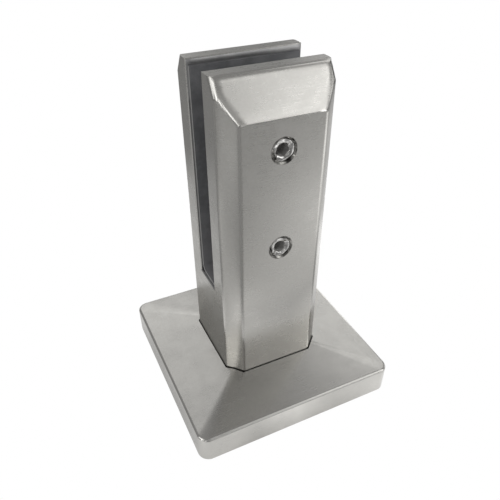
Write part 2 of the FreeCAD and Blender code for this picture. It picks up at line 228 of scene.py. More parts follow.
# Roughness of the finishes. A pair is what a noise or a mask mixes, and a spread is what
# clouds add on both sides.
SANDED_ROUGHNESS = (0.27, 0.315)
SANDED_SPREAD = 0.04
EDGE_ROUGHNESS = 0.16
MILLED_ROUGHNESS = 0.42
BLASTED_ROUGHNESS = 0.62
SHEET_ROUGHNESS = (0.22, 0.27)
SHEET_SPREAD = 0.03
BEND_ROUGHNESS = (0.33, 0.12)
RAW_SHEET_ROUGHNESS = 0.5
ROLLED_ROUGHNESS = (0.3, 0.44)
POLISHED_ROUGHNESS = (0.12, 0.08)
SCRATCH_ROUGHNESS = 0.15
SOCKET_SHADE_ROUGHNESS = 0.6
RUBBER_ROUGHNESS = (0.62, 0.8)
BELT_ANISOTROPY = 0.45
SHEET_ANISOTROPY = 0.4

# Heights of the relief in millimetres. The pair is for upright and lying faces.
SANDED_RELIEF = (0.00014, 0.0005)
DENT_RELIEF = 0.006
BLASTED_RELIEF = 0.05
SHEET_RELIEF = 0.0007
ROLLED_RELIEF = 0.002
SCREW_RELIEF = 0.9
RUBBER_RELIEF = 0.03

# Camera, from the photo: place, tilt up from straight down, turn, lens and shifts
CAMERA_PLACE = (-88.72, -184.15, 217.64)
CAMERA_TILT = 51.75
CAMERA_TURN = -25.75
CAMERA_LENS = 37.44
SENSOR_WIDTH = 36.0
CAMERA_SHIFT = (-0.0101, 0.0483)
CAMERA_NEAR = 0.01

# Studio: light of the room, the floor's half side and the point that the softboxes face
WHITE = (1.0, 1.0, 1.0, 1.0)
PAPER_GREY = (0.5, 0.5, 0.5, 1.0)
ROOM_LIGHT = 0.277
FLOOR_REACH = 3.0
AIM = Vector((0, 0, 0.08))

# Softboxes: bearing from the front and height angle in degrees, width, height and power
SOFTBOXES = {
    "front_low": (0, 6, 0.50, 0.30, 0.15),
    "front_right": (26, 26, 0.40, 0.45, 0.41),
    "key_low": (48, 8, 0.45, 0.35, 0.91),
    "key": (48, 28, 0.45, 0.40, 0.56),
    "key_high": (48, 48, 0.45, 0.40, 0.55),
    "right_low": (90, 6, 0.45, 0.30, 0.34),
    "back_right_low": (135, 6, 0.45, 0.30, 0.70),
    "back_right": (127, 26, 0.45, 0.45, 0.30),
    "back_right_high": (107, 48, 0.50, 0.40, 0.38),
    "back": (180, 26, 0.50, 0.45, 0.38),
    "back_high": (188, 48, 0.50, 0.45, 0.28),
    "left": (284, 28, 0.45, 0.45, 0.70),
    "left_high": (284, 50, 0.45, 0.40, 0.28),
    "by_camera": (338, 26, 0.40, 0.40, 0.09),
    "strip_left": (290, 8, 0.16, 0.30, 0.32),
    "strip_front_left": (305, 8, 0.16, 0.30, 0.20),
    "strip_front": (320, 8, 0.16, 0.30, 0.24),
    "strip_tall": (262, 30, 0.20, 0.60, 0.38),
}

# Patches of light on the floor: centre, radius and brightness
LIT_PATCHES = (
    ((0.0, -0.075), 0.05, 0.622),
    ((0.053, -0.053), 0.05, 0.661),
    ((0.075, 0.0), 0.05, 0.461),
    ((-0.053, 0.053), 0.05, 0.464),
    ((-0.075, 0.0), 0.05, 0.505),
    ((-0.053, -0.053), 0.05, 0.395),
    ((0.048, -0.115), 0.07, 0.286),
    ((0.115, 0.048), 0.07, 1.106),
    ((-0.048, 0.115), 0.07, 0.457),
    ((-0.115, -0.048), 0.07, 0.253),
    ((0.141, -0.141), 0.11, 0.797),
    ((0.2, 0.0), 0.11, 0.375),
    ((0.141, 0.141), 0.11, 1.064),
    ((0.0, 0.2), 0.11, 1.586),
    ((-0.2, 0.0), 0.11, 0.336),
    ((0.294, -0.17), 0.2, 1.002),
    ((0.294, 0.17), 0.2, 0.473),
    ((-0.294, -0.17), 0.2, 0.244),
    ((0.0, -0.066), 0.028, 0.282),
    ((-0.04, -0.066), 0.028, 0.207),
    ((-0.078, -0.06), 0.03, 0.425),
)

# Numbers of a Mix node's sockets, several of which share a name: factor and both inputs
VALUE_SOCKETS = (0, 2, 3)
COLOUR_SOCKETS = (0, 6, 7)
COLOUR_RESULT = 2

# Kinds of a group's inputs, and where a vector starts
FLOAT = "NodeSocketFloat"
VECTOR = "NodeSocketVector"
ZERO = (0.0, 0.0, 0.0)


def add(tree, kind, inputs=None, **settings):
    """Add a node. Inputs maps sockets to values or to other nodes' sockets."""
    node = tree.nodes.new(kind)
    for name, value in settings.items():
        setattr(node, name, value)
    for socket, value in (inputs or {}).items():
        if isinstance(value, bpy.types.NodeSocket):
            tree.links.new(value, node.inputs[socket])
        else:
            node.inputs[socket].default_value = value
    return node


def calc(tree, operation, first, second=None, third=None):
    """Math node of up to three values; gives its socket."""
    values = {i: v for i, v in enumerate((first, second, third)) if v is not None}
    return add(tree, "ShaderNodeMath", values, operation=operation).outputs[0]


def scaled(tree, value, share):
    """A value times a share."""
    return calc(tree, "MULTIPLY", value, share)


def vector_calc(tree, operation, first, second=None):
    """Vector Math node; gives its vector, or its value for a dot product."""
    values = {0: first}
    if second is not None:
        values[1] = second
    node = add(tree, "ShaderNodeVectorMath", values, operation=operation)
    return node.outputs["Value" if operation == "DOT_PRODUCT" else "Vector"]


def vector_scaled(tree, vector, scale):
    """A vector times a value."""
    node = add(tree, "ShaderNodeVectorMath", {0: vector, "Scale": scale}, operation="SCALE")
    return node.outputs["Vector"]


def parts_of(tree, vector):
    """X, Y and Z of a vector."""
    return add(tree, "ShaderNodeSeparateXYZ", {0: vector}).outputs


def vector_of(tree, **parts):
    """Vector from its X, Y and Z; a part that isn't given is 0."""
    return add(tree, "ShaderNodeCombineXYZ", parts).outputs[0]


def ramp_between(tree, value, low, high):
    """Soft step from 0 to 1 of a value from one limit to another."""
    limits = {"Value": value, "From Min": low, "From Max": high, "To Min": 0.0, "To Max": 1.0}
    node = add(tree, "ShaderNodeMapRange", limits, interpolation_type="SMOOTHSTEP")
    return node.outputs["Result"]


def ramp_flat(tree, value, low, high):
    """Even step from 0 to 1 of a value from one limit to another."""
    limits = {"Value": value, "From Min": low, "From Max": high, "To Min": 0.0, "To Max": 1.0}
    return add(tree, "ShaderNodeMapRange", limits, interpolation_type="LINEAR").outputs["Result"]


def mix_colour(tree, factor, first, second):
    """Mix of two colours by a factor."""
    node = add(tree, "ShaderNodeMix", data_type="RGBA")
    for socket, value in zip(COLOUR_SOCKETS, (factor, first, second)):
        if isinstance(value, bpy.types.NodeSocket):
            tree.links.new(value, node.inputs[socket])
        else:
            node.inputs[socket].default_value = (*value, 1.0)
    return node.outputs[COLOUR_RESULT]


def mix_part(tree, mask, share, first, second):
    """Mix of two colours by a share of a mask."""
    return mix_colour(tree, scaled(tree, mask, share), first, second)


def mix_value(tree, factor, first, second):
    """Mix of two values by a factor."""
    inputs = dict(zip(VALUE_SOCKETS, (factor, first, second)))
    return add(tree, "ShaderNodeMix", inputs).outputs[0]


def shifted(tree, value, shift, spread):
    """A value moved to both sides by a noise, over a spread."""
    return calc(tree, "ADD", value, calc(tree, "MULTIPLY_ADD", shift, spread, -spread / 2))


def noise(tree, vector, scale=1.0, detail=2.0, roughness=0.5):
    """Noise texture; gives its value."""
    inputs = {"Vector": vector, "Scale": scale, "Detail": detail, "Roughness": roughness}
    return add(tree, "ShaderNodeTexNoise", inputs).outputs["Fac"]


def new_group(name, inputs, output):
    """Node group with one output; gives the group, its inputs and its output socket."""
    group = bpy.data.node_groups.new(name, "ShaderNodeTree")
    for socket, (kind, value) in inputs.items():
        made = group.interface.new_socket(socket, in_out="INPUT", socket_type=kind)
        made.default_value = value
    group.interface.new_socket(output, in_out="OUTPUT", socket_type=FLOAT)
    start = group.nodes.new("NodeGroupInput")
    end = group.nodes.new("NodeGroupOutput")
    return group, start.outputs, end.inputs[output]


def make_brush_lines():
    """Fine lines of a sanding belt, long where the fineness is low."""
    group, given, lines = new_group(
        "brush_lines", {"Position": (VECTOR, ZERO), "Fineness": (VECTOR, ZERO)}, "Lines")
    stretched = vector_calc(group, "MULTIPLY", given["Position"], given["Fineness"])
    fine = noise(group, stretched, detail=2.0)
    broad = noise(group, stretched, scale=BROAD_SCALE, detail=BROAD_DETAIL)
    both = mix_value(group, BROAD_SHARE, fine, broad)
    group.links.new(ramp_between(group, both, *LINE_RANGE), lines)
    return group


def make_patches():
    """Soft cloudy patches of about a given size."""
    group, given, patches = new_group(
        "patches", {"Position": (VECTOR, ZERO), "Size": (FLOAT, 1.0)}, "Patches")
    scale = calc(group, "DIVIDE", 1.0, given["Size"])
    cloud = noise(group, given["Position"], scale=scale, detail=CLOUD_DETAIL,
                  roughness=CLOUD_ROUGHNESS)
    group.links.new(ramp_between(group, cloud, *PATCH_RANGE), patches)
    return group


def make_rub_marks():
    """Few short marks where a surface was rubbed."""
    group, given, marks = new_group(
        "rub_marks", {"Position": (VECTOR, ZERO), "Fineness": (VECTOR, ZERO)}, "Marks")
    stretched = vector_calc(group, "MULTIPLY", given["Position"], given["Fineness"])
    field = noise(group, stretched, detail=1.0, roughness=MARK_ROUGHNESS)
    group.links.new(ramp_between(group, field, *MARK_RANGE), marks)
    return group


def make_place():
    """Mask of the space between two corners."""
    group, given, inside = new_group(
        "place", {"Position": (VECTOR, ZERO), "Low": (VECTOR, ZERO), "High": (VECTOR, ZERO),
                  "Softness": (FLOAT, HARD_BORDER)}, "Inside")
    above = vector_calc(group, "SUBTRACT", given["Position"], given["Low"])
    below = vector_calc(group, "SUBTRACT", given["High"], given["Position"])
    depth = parts_of(group, vector_calc(group, "MINIMUM", above, below))
    least = calc(group, "MINIMUM", calc(group, "MINIMUM", depth["X"], depth["Y"]), depth["Z"])
    group.links.new(ramp_between(group, least, 0.0, given["Softness"]), inside)
    return group


def make_rounded_edges():
    """Mask of the round edges between flat faces, whose colour gets a painted highlight."""
    group, given, edges = new_group(
        "rounded_edges", {"Normal": (VECTOR, ZERO), "Slope": (VECTOR, ZERO),
                          "Chamfered": (FLOAT, 1.0)}, "Edges")
    facing = vector_calc(group, "ABSOLUTE", given["Normal"])
    axes = parts_of(group, facing)
    flat = calc(group, "MAXIMUM", calc(group, "MAXIMUM", axes["X"], axes["Y"]), axes["Z"])
    corner = scaled(group, calc(group, "ADD", axes["X"], axes["Y"]), math.sqrt(0.5))
    corner = scaled(group, corner, given["Chamfered"])
    front_slope = vector_calc(group, "DOT_PRODUCT", facing, given["Slope"])
    turned = vector_of(group, X=axes["Y"], Y=axes["X"], Z=axes["Z"])
    side_slope = vector_calc(group, "DOT_PRODUCT", turned, given["Slope"])
    for other in (corner, front_slope, side_slope):
        flat = calc(group, "MAXIMUM", flat, other)
    group.links.new(ramp_between(group, flat, *EDGE_RANGE), edges)
    return group


def make_lit_patch():
    """Soft round patch of light on the floor."""
    group, given, light = new_group(
        "lit_patch", {"Position": (VECTOR, ZERO), "Centre": (VECTOR, ZERO),
                      "Radius": (FLOAT, 1.0)}, "Light")
    away = add(group, "ShaderNodeVectorMath", {0: given["Position"], 1: given["Centre"]},
               operation="DISTANCE")
    group.links.new(ramp_between(group, away.outputs["Value"], given["Radius"], 0.0), light)
    return group


BRUSH_LINES = make_brush_lines()
PATCHES = make_patches()
RUB_MARKS = make_rub_marks()
PLACE = make_place()
ROUNDED_EDGES = make_rounded_edges()
LIT_PATCH = make_lit_patch()


def effect(tree, group, **inputs):
    """Place an effect group in a material; gives its output."""
    node = add(tree, "ShaderNodeGroup", node_tree=group)
    for name, value in inputs.items():
        if isinstance(value, bpy.types.NodeSocket):
            tree.links.new(value, node.inputs[name])
        else:
            node.inputs[name].default_value = value
    return node.outputs[0]


def new_material(name):
    """Material with its shader; gives material, tree, shader, place in mm and normal."""
    material = bpy.data.materials.new(name)
    material.use_nodes = True
    tree = material.node_tree
    shader = tree.nodes["Principled BSDF"]
    coordinates = add(tree, "ShaderNodeTexCoord").outputs
    place = vector_scaled(tree, coordinates["Object"], 1 / MM)
    return material, tree, shader, place, coordinates["Normal"]


def finish_surface(tree, shader, colour, roughness, height, under=None):
    """Join colour, roughness and a height in millimetres over a normal to a shader."""
    tree.links.new(colour, shader.inputs["Base Color"])
    tree.links.new(roughness, shader.inputs["Roughness"])
    relief = {"Height": height, "Strength": 1.0, "Distance": MM}
    if under is not None:
        relief["Normal"] = under
    bump = add(tree, "ShaderNodeBump", relief)
    tree.links.new(bump.outputs["Normal"], shader.inputs["Normal"])


def grain_direction(tree, facing):
    """Direction of the belt's lines: level on upright faces, along X on the others."""
    behind = calc(tree, "LESS_THAN", facing["Y"], 0.0)
    sign = calc(tree, "MULTIPLY_ADD", behind, 2.0, -1.0)
    along_y = calc(tree, "MULTIPLY", facing["X"], sign)
    level = calc(tree, "ABSOLUTE", facing["Y"])
    along_x = calc(tree, "ADD", level, calc(tree, "ABSOLUTE", facing["Z"]))
    return vector_of(tree, X=along_x, Y=along_y)


def sheet_direction(tree, facing):
    """Direction of a rolled sheet's grain: along X, and bent down with the sides."""
    level = calc(tree, "ADD", calc(tree, "ABSOLUTE", facing["Y"]),
                 calc(tree, "ABSOLUTE", facing["Z"]))
    return vector_of(tree, X=level, Z=scaled(tree, facing["X"], -1.0))


def border_lean(tree, distance):
    """Lean of a face towards its border, which starts softly a few millimetres off."""
    near = ramp_flat(tree, distance, CROWN_WIDTH, 0.0)
    return scaled(tree, calc(tree, "MULTIPLY", near, near), CROWN_LEAN)


def chamfer_lean(tree, spread, facing):
    """Lean of the upright chamfers, which are slightly rounded across."""
    across = calc(tree, "SUBTRACT", calc(tree, "SUBTRACT", spread["Y"], spread["X"]), DEPTH_EXCESS)
    share = calc(tree, "DIVIDE", across, CHAMFER_SPAN)
    bent = scaled(tree, calc(tree, "MULTIPLY", share, calc(tree, "ABSOLUTE", share)), CHAMFER_LEAN)
    slanted = vector_calc(tree, "DOT_PRODUCT", facing, CHAMFER_NORMAL)
    bent = calc(tree, "MULTIPLY", bent, ramp_flat(tree, slanted, *ON_CHAMFER))
    return vector_of(tree, X=scaled(tree, bent, -1.0), Y=bent)


def crowned_normal(tree, place, spread, corner, normal):
    """Normal of the post, whose facets a belt wore down softly towards their borders.

    Spread is the place with its signs left off, and corner the sum of its X and Y.
    """
    to_chamfer = scaled(tree, calc(tree, "SUBTRACT", CHAMFER_REACH, corner), CHAMFER_TIGHTNESS)
    to_crest = scaled(tree, calc(tree, "SUBTRACT", POST_TOP, spread["Z"]), CREST_TIGHTNESS)
    to_side = scaled(tree, calc(tree, "SUBTRACT", POST_SIDE, spread["X"]), SIDE_TIGHTNESS)
    to_foot = calc(tree, "SUBTRACT", spread["Z"], FACET_FOOT)
    slant = scaled(tree, border_lean(tree, to_chamfer), SLANT_SHARE)
    sideways = calc(tree, "ADD", border_lean(tree, to_side), slant)
    downward = scaled(tree, border_lean(tree, to_foot), FOOT_LEAN / CROWN_LEAN)
    upward = calc(tree, "SUBTRACT", border_lean(tree, to_crest), downward)
    lean = vector_of(tree, X=sideways, Y=slant, Z=upward)

    facing = vector_calc(tree, "ABSOLUTE", normal)
    sloped = vector_calc(tree, "DOT_PRODUCT", facing, FACET_NORMAL)
    above = ramp_flat(tree, spread["Z"], *FACET_STARTS)
    on_facet = calc(tree, "MULTIPLY", ramp_flat(tree, sloped, *ON_FACET), above)
    lean = vector_scaled(tree, lean, on_facet)
    lean = vector_calc(tree, "ADD", lean, chamfer_lean(tree, spread, facing))
    lean = vector_calc(tree, "MULTIPLY", lean, vector_calc(tree, "SIGN", place))
    bent = vector_calc(tree, "NORMALIZE", vector_calc(tree, "ADD", normal, lean))
    turned = add(tree, "ShaderNodeVectorTransform", {0: bent}, vector_type="NORMAL",
                 convert_from="OBJECT", convert_to="WORLD")
    return turned.outputs[0]


def screw_mouths(tree, place):
    """Mask of the countersunk mouths of the two screw holes."""
    axes = parts_of(tree, place)
    nearest = OUTSIDE
    for height in SCREW_HEIGHTS:
        offset = vector_of(tree, X=axes["X"], Z=calc(tree, "SUBTRACT", axes["Z"], height))
        length = add(tree, "ShaderNodeVectorMath", {0: offset}, operation="LENGTH")
        nearest = calc(tree, "MINIMUM", length.outputs["Value"], nearest)
    inside = ramp_between(tree, nearest, MOUTH_RADIUS, MOUTH_RADIUS - MOUTH_SOFTNESS)
    return calc(tree, "MULTIPLY", inside, calc(tree, "LESS_THAN", axes["Y"], MOUTH_DEPTH))


def dark_reflection_patch(tree, place, facing):
    """Mask of the painted dark reflection of the cover on the lower front, by the foot."""
    field = effect(tree, PLACE, Position=place, Low=(-OUTSIDE, -OUTSIDE, -OUTSIDE),
                    High=(DARK_REFLECTION_SIDE, 0.0, DARK_REFLECTION_TOP), Softness=DARK_REFLECTION_SOFTNESS)
    front = ramp_between(tree, scaled(tree, facing["Y"], -1.0), *ON_FRONT)
    return calc(tree, "MULTIPLY", field, front)


def cast_surface(tree, place):
    """Mask of the blasted foot, with a wavy border, and of the core recess."""
    wander = effect(tree, PATCHES, Position=place, Size=FOOT_WAVE)
    lifted = vector_of(tree, Z=scaled(tree, wander, FOOT_WANDER))
    foot = effect(tree, PLACE, Position=vector_calc(tree, "ADD", place, lifted),
                  Low=(-OUTSIDE, -OUTSIDE, -OUTSIDE), High=(OUTSIDE, OUTSIDE, FOOT_TOP),
                  Softness=FOOT_SOFTNESS)
    core = effect(tree, PLACE, Position=place, Low=(-CORE_SIDE, -CORE_SIDE, -OUTSIDE),
                  High=(CORE_SIDE, CORE_SIDE, CORE_ROOF))
    return calc(tree, "MAXIMUM", foot, core)


def chamfer_dents(tree, place, spread, corner):
    """Height of the small dents in the upper part of the upright chamfers."""
    dents = effect(tree, RUB_MARKS, Position=place, Fineness=BELT_DENTS)
    chamfered = ramp_flat(tree, corner, *CHAMFER_STARTS)
    high_up = ramp_between(tree, spread["Z"], *DENTED_ABOVE)
    dents = calc(tree, "MULTIPLY", dents, scaled(tree, chamfered, DENT_RELIEF))
    return calc(tree, "MULTIPLY", dents, high_up)


def make_post_steel():
    """Cast stainless steel: belt sanded outside, milled slot, blasted foot and core."""
    material, tree, shader, place, normal = new_material("post_steel")
    facing = parts_of(tree, normal)
    spread = parts_of(tree, vector_calc(tree, "ABSOLUTE", place))
    corner = calc(tree, "ADD", spread["X"], spread["Y"])
    lying = calc(tree, "GREATER_THAN", calc(tree, "ABSOLUTE", facing["Z"]), LYING)
    fineness = vector_of(tree, X=BELT_ALONG, Z=BELT_ACROSS,
                         Y=mix_value(tree, lying, BELT_ALONG, BELT_ACROSS))
    lines = effect(tree, BRUSH_LINES, Position=place, Fineness=fineness)
    clouds = effect(tree, PATCHES, Position=place, Size=POST_CLOUD)
    stains = effect(tree, PATCHES, Position=place, Size=POST_STAIN)
    speckle = effect(tree, PATCHES, Position=place, Size=POST_SPECKLE)
    grit = effect(tree, PATCHES, Position=place, Size=POST_GRIT)
    marks = effect(tree, RUB_MARKS, Position=place, Fineness=BELT_MARKS)
    edges = effect(tree, ROUNDED_EDGES, Normal=normal, Slope=FACET_NORMAL, Chamfered=1.0)
    slot = effect(tree, PLACE, Position=place, Low=(-OUTSIDE, -SLOT_WALL, SLOT_FLOOR),
                  High=(OUTSIDE, SLOT_WALL, OUTSIDE))
    cast = cast_surface(tree, place)

    colour = mix_colour(tree, speckle, *SANDED)
    # Painted highlight along the rounded edges
    colour = mix_part(tree, edges, EDGE_SHARE, colour, EDGE_HIGHLIGHT)
    colour = mix_part(tree, marks, RUB_MARK_SHARE, colour, RUB_MARK)
    # Painted dark reflection of the cover on the lower front, by the foot
    dark_reflection = dark_reflection_patch(tree, place, facing)
    colour = mix_part(tree, dark_reflection, DARK_REFLECTION_SHARE, colour, DARK_REFLECTION)
    # Painted shade and reflection in the hole mouths, dark with paler patches
    mouth_shade = mix_colour(tree, stains, *MOUTH_SHADE)
    colour = mix_colour(tree, screw_mouths(tree, place), colour, mouth_shade)
    colour = mix_colour(tree, slot, colour, mix_colour(tree, clouds, *MILLED))
    colour = mix_colour(tree, cast, colour, mix_colour(tree, speckle, *BLASTED))

    roughness = mix_value(tree, lines, *SANDED_ROUGHNESS)
    roughness = shifted(tree, roughness, clouds, SANDED_SPREAD)
    roughness = mix_value(tree, edges, roughness, EDGE_ROUGHNESS)
    roughness = mix_value(tree, slot, roughness, MILLED_ROUGHNESS)
    roughness = mix_value(tree, cast, roughness, BLASTED_ROUGHNESS)

    height = calc(tree, "MULTIPLY", lines, mix_value(tree, lying, *SANDED_RELIEF))
    height = calc(tree, "ADD", height, chamfer_dents(tree, place, spread, corner))
    height = mix_value(tree, cast, height, scaled(tree, grit, BLASTED_RELIEF))
    under = crowned_normal(tree, place, spread, corner, normal)
    finish_surface(tree, shader, colour, roughness, height, under)
    shader.inputs["Metallic"].default_value = 1.0
    shader.inputs["Anisotropic"].default_value = BELT_ANISOTROPY
    tree.links.new(grain_direction(tree, facing), shader.inputs["Tangent"])
    return material


def make_cover_steel():
    """Pressed stainless sheet with its grain along X, dull on the inside."""
    material, tree, shader, place, normal = new_material("cover_steel")
    facing = parts_of(tree, normal)
    aside = calc(tree, "ABSOLUTE", facing["X"])
    side = calc(tree, "GREATER_THAN", aside, ASIDE)
    inside = calc(tree, "LESS_THAN", facing["Z"], DOWNWARD)
    fineness = vector_of(tree, X=SHEET_ALONG, Y=SHEET_ACROSS,
                         Z=mix_value(tree, side, SHEET_ACROSS, SHEET_ALONG))
    lines = effect(tree, BRUSH_LINES, Position=place, Fineness=fineness)
    clouds = effect(tree, PATCHES, Position=place, Size=SHEET_CLOUD)
    speckle = effect(tree, PATCHES, Position=place, Size=SHEET_SPECKLE)
    edges = effect(tree, ROUNDED_EDGES, Normal=normal, Slope=COVER_SLOPE_NORMAL, Chamfered=0.0)

    colour = mix_colour(tree, speckle, *SHEET)
    colour = mix_part(tree, clouds, SHEET_CLOUD_SHARE, colour, CLOUDED_SHEET)
    # Painted highlight along the cover's bends and corners
    colour = mix_part(tree, edges, SHEET_EDGE_SHARE, colour, EDGE_HIGHLIGHT)
    colour = mix_colour(tree, inside, colour, mix_colour(tree, clouds, *RAW_SHEET))

    bend = mix_value(tree, ramp_between(tree, aside, *SIDE_BEND), *BEND_ROUGHNESS)
    roughness = mix_value(tree, lines, *SHEET_ROUGHNESS)
    roughness = shifted(tree, roughness, clouds, SHEET_SPREAD)
    roughness = mix_value(tree, edges, roughness, bend)
    roughness = mix_value(tree, inside, roughness, RAW_SHEET_ROUGHNESS)
    finish_surface(tree, shader, colour, roughness, scaled(tree, lines, SHEET_RELIEF))
    shader.inputs["Metallic"].default_value = 1.0
    shader.inputs["Anisotropic"].default_value = SHEET_ANISOTROPY
    tree.links.new(sheet_direction(tree, facing), shader.inputs["Tangent"])
    return material


def make_plate_steel():
    """Cold rolled pressure plate with sheared edges."""
    material, tree, shader, place, _ = new_material("plate_steel")
    lines = effect(tree, BRUSH_LINES, Position=place, Fineness=ROLLED_LINES)
    clouds = effect(tree, PATCHES, Position=place, Size=PLATE_CLOUD)
    marks = effect(tree, RUB_MARKS, Position=place, Fineness=ROLLED_MARKS)
    colour = mix_colour(tree, clouds, *ROLLED)
    colour = mix_part(tree, marks, SCRAPED_SHARE, colour, SCRAPED)
    roughness = mix_value(tree, lines, *ROLLED_ROUGHNESS)
    finish_surface(tree, shader, colour, roughness, scaled(tree, lines, ROLLED_RELIEF))
    shader.inputs["Metallic"].default_value = 1.0
    return material


def make_screw_steel():
    """Bright polished stainless of the set screws, with painted shade darkening the inside of
    their sockets.
    """
    material, tree, shader, place, _ = new_material("screw_steel")
    clouds = effect(tree, PATCHES, Position=place, Size=SCREW_CLOUD)
    marks = effect(tree, RUB_MARKS, Position=place, Fineness=SCREW_MARKS)
    dents = noise(tree, place, scale=SCREW_DENTS, detail=0.0)
    # Painted shade inside the sockets: dark, rough and not metallic
    socket_shade = 0.0
    for height in SCREW_HEIGHTS:
        socket = effect(tree, PLACE, Position=place,
                        Low=(-SOCKET_REACH, SOCKET_MOUTH, height - SOCKET_REACH),
                        High=(SOCKET_REACH, SOCKET_FLOOR, height + SOCKET_REACH),
                        Softness=SOCKET_SOFTNESS)
        socket_shade = calc(tree, "MAXIMUM", socket, socket_shade)
    colour = mix_colour(tree, clouds, *POLISHED)
    colour = mix_part(tree, marks, SCRATCHED_SHARE, colour, SCRATCHED)
    colour = mix_colour(tree, socket_shade, colour, SOCKET_SHADE)
    roughness = mix_value(tree, clouds, *POLISHED_ROUGHNESS)
    roughness = calc(tree, "ADD", roughness, scaled(tree, marks, SCRATCH_ROUGHNESS))
    roughness = mix_value(tree, socket_shade, roughness, SOCKET_SHADE_ROUGHNESS)
    finish_surface(tree, shader, colour, roughness, scaled(tree, dents, SCREW_RELIEF))
    tree.links.new(calc(tree, "SUBTRACT", 1.0, socket_shade), shader.inputs["Metallic"])
    return material


def make_rubber():
    """Dull grey rubber, paler and rougher along its cut ends and dusty low in the slot."""
    material, tree, shader, place, _ = new_material("rubber")
    axes = parts_of(tree, place)
    cut = ramp_between(tree, calc(tree, "ABSOLUTE", axes["X"]), *RUBBER_CUT)
    low = ramp_between(tree, axes["Z"], *DUSTY_BELOW)
    clouds = effect(tree, PATCHES, Position=place, Size=RUBBER_CLOUD)
    grit = effect(tree, PATCHES, Position=place, Size=RUBBER_GRIT)
    colour = mix_colour(tree, clouds, *RUBBER)
    colour = mix_part(tree, low, DUSTY_SHARE, colour, DUSTY_RUBBER)
    colour = mix_part(tree, cut, CUT_SHARE, colour, CUT_RUBBER)
    roughness = mix_value(tree, grit, *RUBBER_ROUGHNESS)
    finish_surface(tree, shader, colour, roughness, scaled(tree, grit, RUBBER_RELIEF))
    return material


def new_piece(name, bm, material, body):
    """Object from a bmesh that rides on a body and takes a finish."""
    mesh = bpy.data.meshes.new(name)
    bm.to_mesh(mesh)
    bm.free()
    mesh.materials.append(material)
    piece = bpy.data.objects.new(name, mesh)
    bpy.context.scene.collection.objects.link(piece)
    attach(piece, body)
    return piece


def shade(piece, angle_deg):
    """Smooth shading, with edges above an angle kept sharp."""
    for polygon in piece.data.polygons:
        polygon.use_smooth = True
    piece.data.set_sharp_from_angle(angle=math.radians(angle_deg))


def keep_inside(piece, bm):
    """Keep only the part of a piece that lies inside the solid of a bmesh."""
    mesh = bpy.data.meshes.new("cutter")
    bm.to_mesh(mesh)
    bm.free()
    cutter = bpy.data.objects.new("cutter", mesh)
    bpy.context.scene.collection.objects.link(cutter)
    cut = piece.modifiers.new("cut", "BOOLEAN")
    cut.operation = "INTERSECT"
    cut.solver = "EXACT"
    cut.object = cutter
    bpy.context.view_layer.update()
    graph = bpy.context.evaluated_depsgraph_get()
    result = bpy.data.meshes.new_from_object(piece.evaluated_get(graph))
    piece.modifiers.remove(cut)
    old = piece.data
    piece.data = result
    result.name = piece.name
    bpy.data.meshes.remove(old)
    bpy.data.objects.remove(cutter)
    bpy.data.meshes.remove(mesh)


def add_outline(bm, places):
    """Loose points joined by edges; gives the points and the edges."""
    points = [bm.verts.new(p) for p in places]
    edges = [bm.edges.new(pair) for pair in zip(points, points[1:])]
    return points, edges


def wind(bm, geometry, axis_point, turns):
    """Wind an outline into a right-hand thread along Y."""
    steps = round(turns * STEPS_PER_TURN)
    bmesh.ops.spin(bm, geom=geometry, cent=axis_point, axis=(0, 1, 0), angle=2 * math.pi * turns,
                   dvec=(0, PITCH / STEPS_PER_TURN, 0), steps=steps, use_merge=False,
                   use_duplicate=False)


def close_ends(bm):
    """Fill each open loop with one face, then turn all faces outwards."""
    open_edges = [e for e in bm.edges if e.is_boundary]
    bmesh.ops.holes_fill(bm, edges=open_edges, sides=0)
    bmesh.ops.recalc_face_normals(bm, faces=bm.faces)


def thread_rod(centre, start, end):
    """Rod with an outer thread, longer than the screw at both ends."""
    bm = bmesh.new()
    outer = SCREW_RADIUS + CREST_EXCESS
    rise = (outer - SCREW_ROOT) * FLANK
    first = start - LEAD
    section = [(outer, 0), (outer, CREST), (SCREW_ROOT, CREST + rise),
               (SCREW_ROOT, PITCH - rise), (outer, PITCH)]
    places = [centre + Vector((r, first + y, 0)) for r, y in section]
    points, edges = add_outline(bm, places)
    turns = math.ceil((end - start) / PITCH) + ROD_EXTRA_TURNS
    wind(bm, points + edges, centre, turns)
    bmesh.ops.remove_doubles(bm, verts=bm.verts, dist=MERGE_DISTANCE)
    for y, direction in ((start - 0.5 * PITCH, -1), (end + 0.5 * PITCH, 1)):
        everything = bm.verts[:] + bm.edges[:] + bm.faces[:]
        bmesh.ops.bisect_plane(bm, geom=everything, plane_co=(0, y, 0),
                               plane_no=(0, direction, 0), clear_outer=True)
    close_ends(bm)
    return bm


def cut_grub_screw(node_name, piece_name, body, material):
    """Set screw with a real thread, in the shape that its frame node has."""
    low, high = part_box(node_name)
    centre = Vector((0, 0, (low.z + high.z) / 2))
    piece = new_piece(piece_name, thread_rod(centre, low.y, high.y), material, body)
    blank = bmesh.new()
    blank.from_mesh(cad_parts[node_name].data)
    bmesh.ops.remove_doubles(blank, verts=blank.verts, dist=MERGE_DISTANCE)
    keep_inside(piece, blank)
    shade(piece, THREAD_SHARP)
    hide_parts(node_name)


def hole_blank(centre, front, back, mouth_radius):
    """Solid of a countersunk hole, which trims the ends of its thread."""
    bm = bmesh.new()
    cone_tip = front + mouth_radius
    section = [(0, cone_tip - BLANK_CORE), (BLANK_CORE, cone_tip - BLANK_CORE),
               (BLANK_OUTSIDE, cone_tip - BLANK_OUTSIDE), (BLANK_OUTSIDE, back), (0, back)]
    points, edges = add_outline(bm, [centre + Vector((r, y, 0)) for r, y in section])
    bmesh.ops.spin(bm, geom=points + edges, cent=centre, axis=(0, 1, 0), angle=2 * math.pi,
                   steps=STEPS_PER_TURN, use_merge=True)
    bmesh.ops.remove_doubles(bm, verts=bm.verts, dist=MERGE_DISTANCE)
    bmesh.ops.recalc_face_normals(bm, faces=bm.faces)
    return bm


